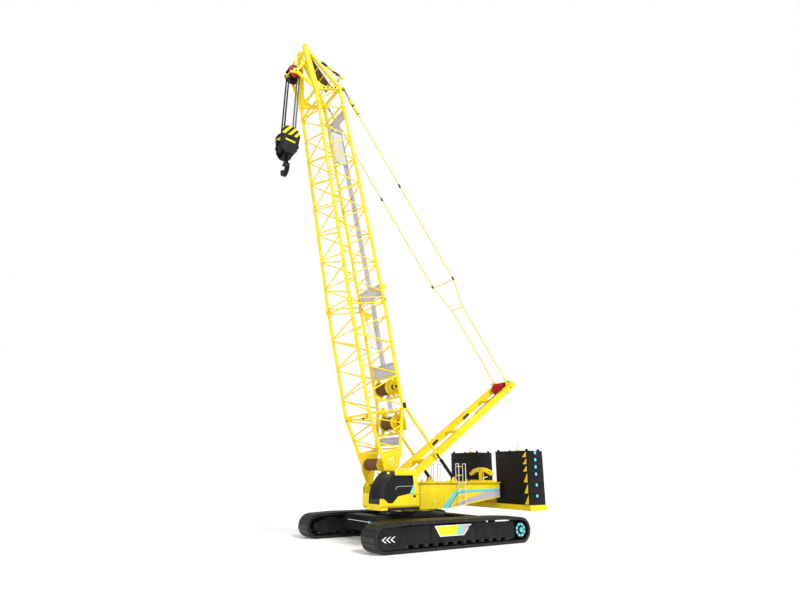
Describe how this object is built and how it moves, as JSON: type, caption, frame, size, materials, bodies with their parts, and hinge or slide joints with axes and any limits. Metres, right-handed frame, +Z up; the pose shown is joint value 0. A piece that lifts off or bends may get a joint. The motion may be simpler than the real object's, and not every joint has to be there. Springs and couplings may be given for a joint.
{
  "type": "crawler crane",
  "caption": "Crawler crane with lattice boom, luffing mast, pendant bars, backstops, rear counterweight stacks, side cab and a hook block on hoist ropes.",
  "frame": {"origin": "on the ground under the slewing ring's centre", "axes": "+X towards the boom, +Y towards the cab side, +Z up"},
  "size_m": [17.6399, 8.22, 29.2417],
  "materials": {
    "paint_yellow": "satin",
    "paint_black": "satin",
    "paint_grey": "satin",
    "steel_dark": "rough",
    "steel_bright": "brushed",
    "glass_tinted": "polished",
    "cab_trim": "matte",
    "seat_cloth": "matte"
  },
  "bodies": {
    "undercarriage": {"track_left": "steel_dark", "track_right": "steel_dark", "track_frame_left": "paint_black", "track_frame_right": "paint_black", "track_rollers_left": "steel_dark", "track_rollers_right": "steel_dark", "carbody": "paint_black", "front_cross_beam": "paint_black", "rear_cross_beam": "paint_black", "slewing_ring": "steel_dark"},
    "sprocket_left": {"drive_sprocket_left": "paint_black"},
    "sprocket_right": {"drive_sprocket_right": "paint_black"},
    "idler_left": {"front_idler_left": "steel_dark"},
    "idler_right": {"front_idler_right": "steel_dark"},
    "superstructure": {"upper_frame": "paint_yellow", "foot_pins": "steel_bright", "counterweight_tray": "paint_yellow", "counterweight_slabs_left": "paint_black", "counterweight_slabs_right": "paint_black", "cab_shell": "paint_yellow", "cab_roof": "paint_yellow", "windscreen": "glass_tinted", "cab_side_glass": "glass_tinted", "cab_seat": "seat_cloth", "cab_console": "cab_trim", "cab_platform": "paint_yellow", "ladders": "paint_grey", "rear_yoke": "paint_yellow", "engine_housing": "paint_yellow", "engine_block": "steel_dark"},
    "door": {"cab_door": "paint_yellow", "door_glass": "glass_tinted"},
    "boom": {"boom_foot_section": "paint_yellow", "boom_top_section": "paint_yellow", "boom_head": "paint_yellow", "boom_cross_members": "paint_yellow", "winch_frames": "paint_yellow", "boom_catwalk": "paint_grey"},
    "head_sheave_set": {"head_sheaves": "steel_dark"},
    "foot_drum": {"foot_winch_drum": "steel_dark"},
    "lower_drum": {"lower_winch_drum": "steel_dark"},
    "upper_drum": {"upper_winch_drum": "steel_dark"},
    "mast": {"mast_frame": "paint_yellow"},
    "mast_sheave_set": {"mast_sheaves": "steel_dark"},
    "pendants": {"pendant_bars": "paint_yellow"},
    "backstop_lower": {"backstop_rods": "paint_black"},
    "backstop_upper": {"backstop_tubes": "paint_yellow"},
    "block": {"hook_block": "paint_black", "hoist_ropes": "steel_dark"},
    "block_sheave_set": {"block_sheaves": "steel_dark"},
    "swivel_hook": {"hook": "paint_black"}
  },
  "joints": [
    {"name": "left_sprocket_spin", "type": "hinge", "parent": "undercarriage", "child": "sprocket_left", "pos_m": [-4.36, 3.51, 0.64], "axis": [0, 1, 0], "continuous": true},
    {"name": "right_sprocket_spin", "type": "hinge", "parent": "undercarriage", "child": "sprocket_right", "pos_m": [-4.36, -3.51, 0.64], "axis": [0, 1, 0], "continuous": true},
    {"name": "left_idler_spin", "type": "hinge", "parent": "undercarriage", "child": "idler_left", "pos_m": [4.36, 3.51, 0.64], "axis": [0, 1, 0], "continuous": true},
    {"name": "right_idler_spin", "type": "hinge", "parent": "undercarriage", "child": "idler_right", "pos_m": [4.36, -3.51, 0.64], "axis": [0, 1, 0], "continuous": true},
    {"name": "slew", "type": "hinge", "parent": "undercarriage", "child": "superstructure", "pos_m": [0, 0, 1.56], "axis": [0, 0, 1], "continuous": true},
    {"name": "boom_luff", "type": "hinge", "parent": "superstructure", "child": "boom", "pos_m": [2.12, 0, 2.83], "axis": [0, 1, 0], "range_deg": [-7, 47]},
    {"name": "head_sheave_spin", "type": "hinge", "parent": "boom", "child": "head_sheave_set", "pos_m": [9.09146, 0, 26.92821], "axis": [0, 1, 0], "continuous": true},
    {"name": "foot_drum_spin", "type": "hinge", "parent": "boom", "child": "foot_drum", "pos_m": [2.49657, 0, 3.9232], "axis": [0, 1, 0], "continuous": true},
    {"name": "lower_drum_spin", "type": "hinge", "parent": "boom", "child": "lower_drum", "pos_m": [1.46517, 0, 6.20503], "axis": [0, 1, 0], "continuous": true},
    {"name": "upper_drum_spin", "type": "hinge", "parent": "boom", "child": "upper_drum", "pos_m": [1.86355, 0, 8.14518], "axis": [0, 1, 0], "continuous": true},
    {"name": "pendant_swing", "type": "hinge", "parent": "boom", "child": "pendants", "pos_m": [6.12668, 0, 26.53757], "axis": [0, 1, 0], "range_deg": [-4, 4]},
    {"name": "rope_swing", "type": "hinge", "parent": "boom", "child": "block", "pos_m": [9.09146, 0, 26.92821], "axis": [0, 1, 0], "range_deg": [-60, 60]},
    {"name": "block_sheave_spin", "type": "hinge", "parent": "block", "child": "block_sheave_set", "pos_m": [9.09146, 0, 22.12821], "axis": [0, 1, 0], "continuous": true},
    {"name": "hook_swivel", "type": "hinge", "parent": "block", "child": "swivel_hook", "pos_m": [9.09146, 0, 20.92821], "axis": [0, 0, 1], "continuous": true},
    {"name": "mast_luff", "type": "hinge", "parent": "superstructure", "child": "mast", "pos_m": [0.6, 0, 3.3], "axis": [0, 1, 0], "range_deg": [-10, 60]},
    {"name": "mast_sheave_spin", "type": "hinge", "parent": "mast", "child": "mast_sheave_set", "pos_m": [-7.42258, 0, 8.97995], "axis": [0, 1, 0], "continuous": true},
    {"name": "backstop_swing", "type": "hinge", "parent": "superstructure", "child": "backstop_lower", "pos_m": [-2.13, 0, 3.22], "axis": [0, 1, 0], "range_deg": [-6, 26]},
    {"name": "backstop_slide", "type": "slide", "parent": "backstop_lower", "child": "backstop_upper", "axis": [0.6681, 0, 0.7441], "range_m": [-0.37, 2.4]},
    {"name": "cab_door_hinge", "type": "hinge", "parent": "superstructure", "child": "door", "pos_m": [1.646, 2.77, 2.7], "axis": [0, 0, 1], "range_deg": [0, 100]}
  ],
  "couplings": [
    {"joint": "mast_luff", "follows": "boom_luff", "ratio": 1.12},
    {"joint": "pendant_swing", "follows": "boom_luff", "ratio": -0.05},
    {"joint": "rope_swing", "follows": "boom_luff", "ratio": -1},
    {"joint": "backstop_swing", "follows": "boom_luff", "ratio": 0.51},
    {"joint": "backstop_slide", "follows": "boom_luff", "m_per_rad": 2.9}
  ]
}
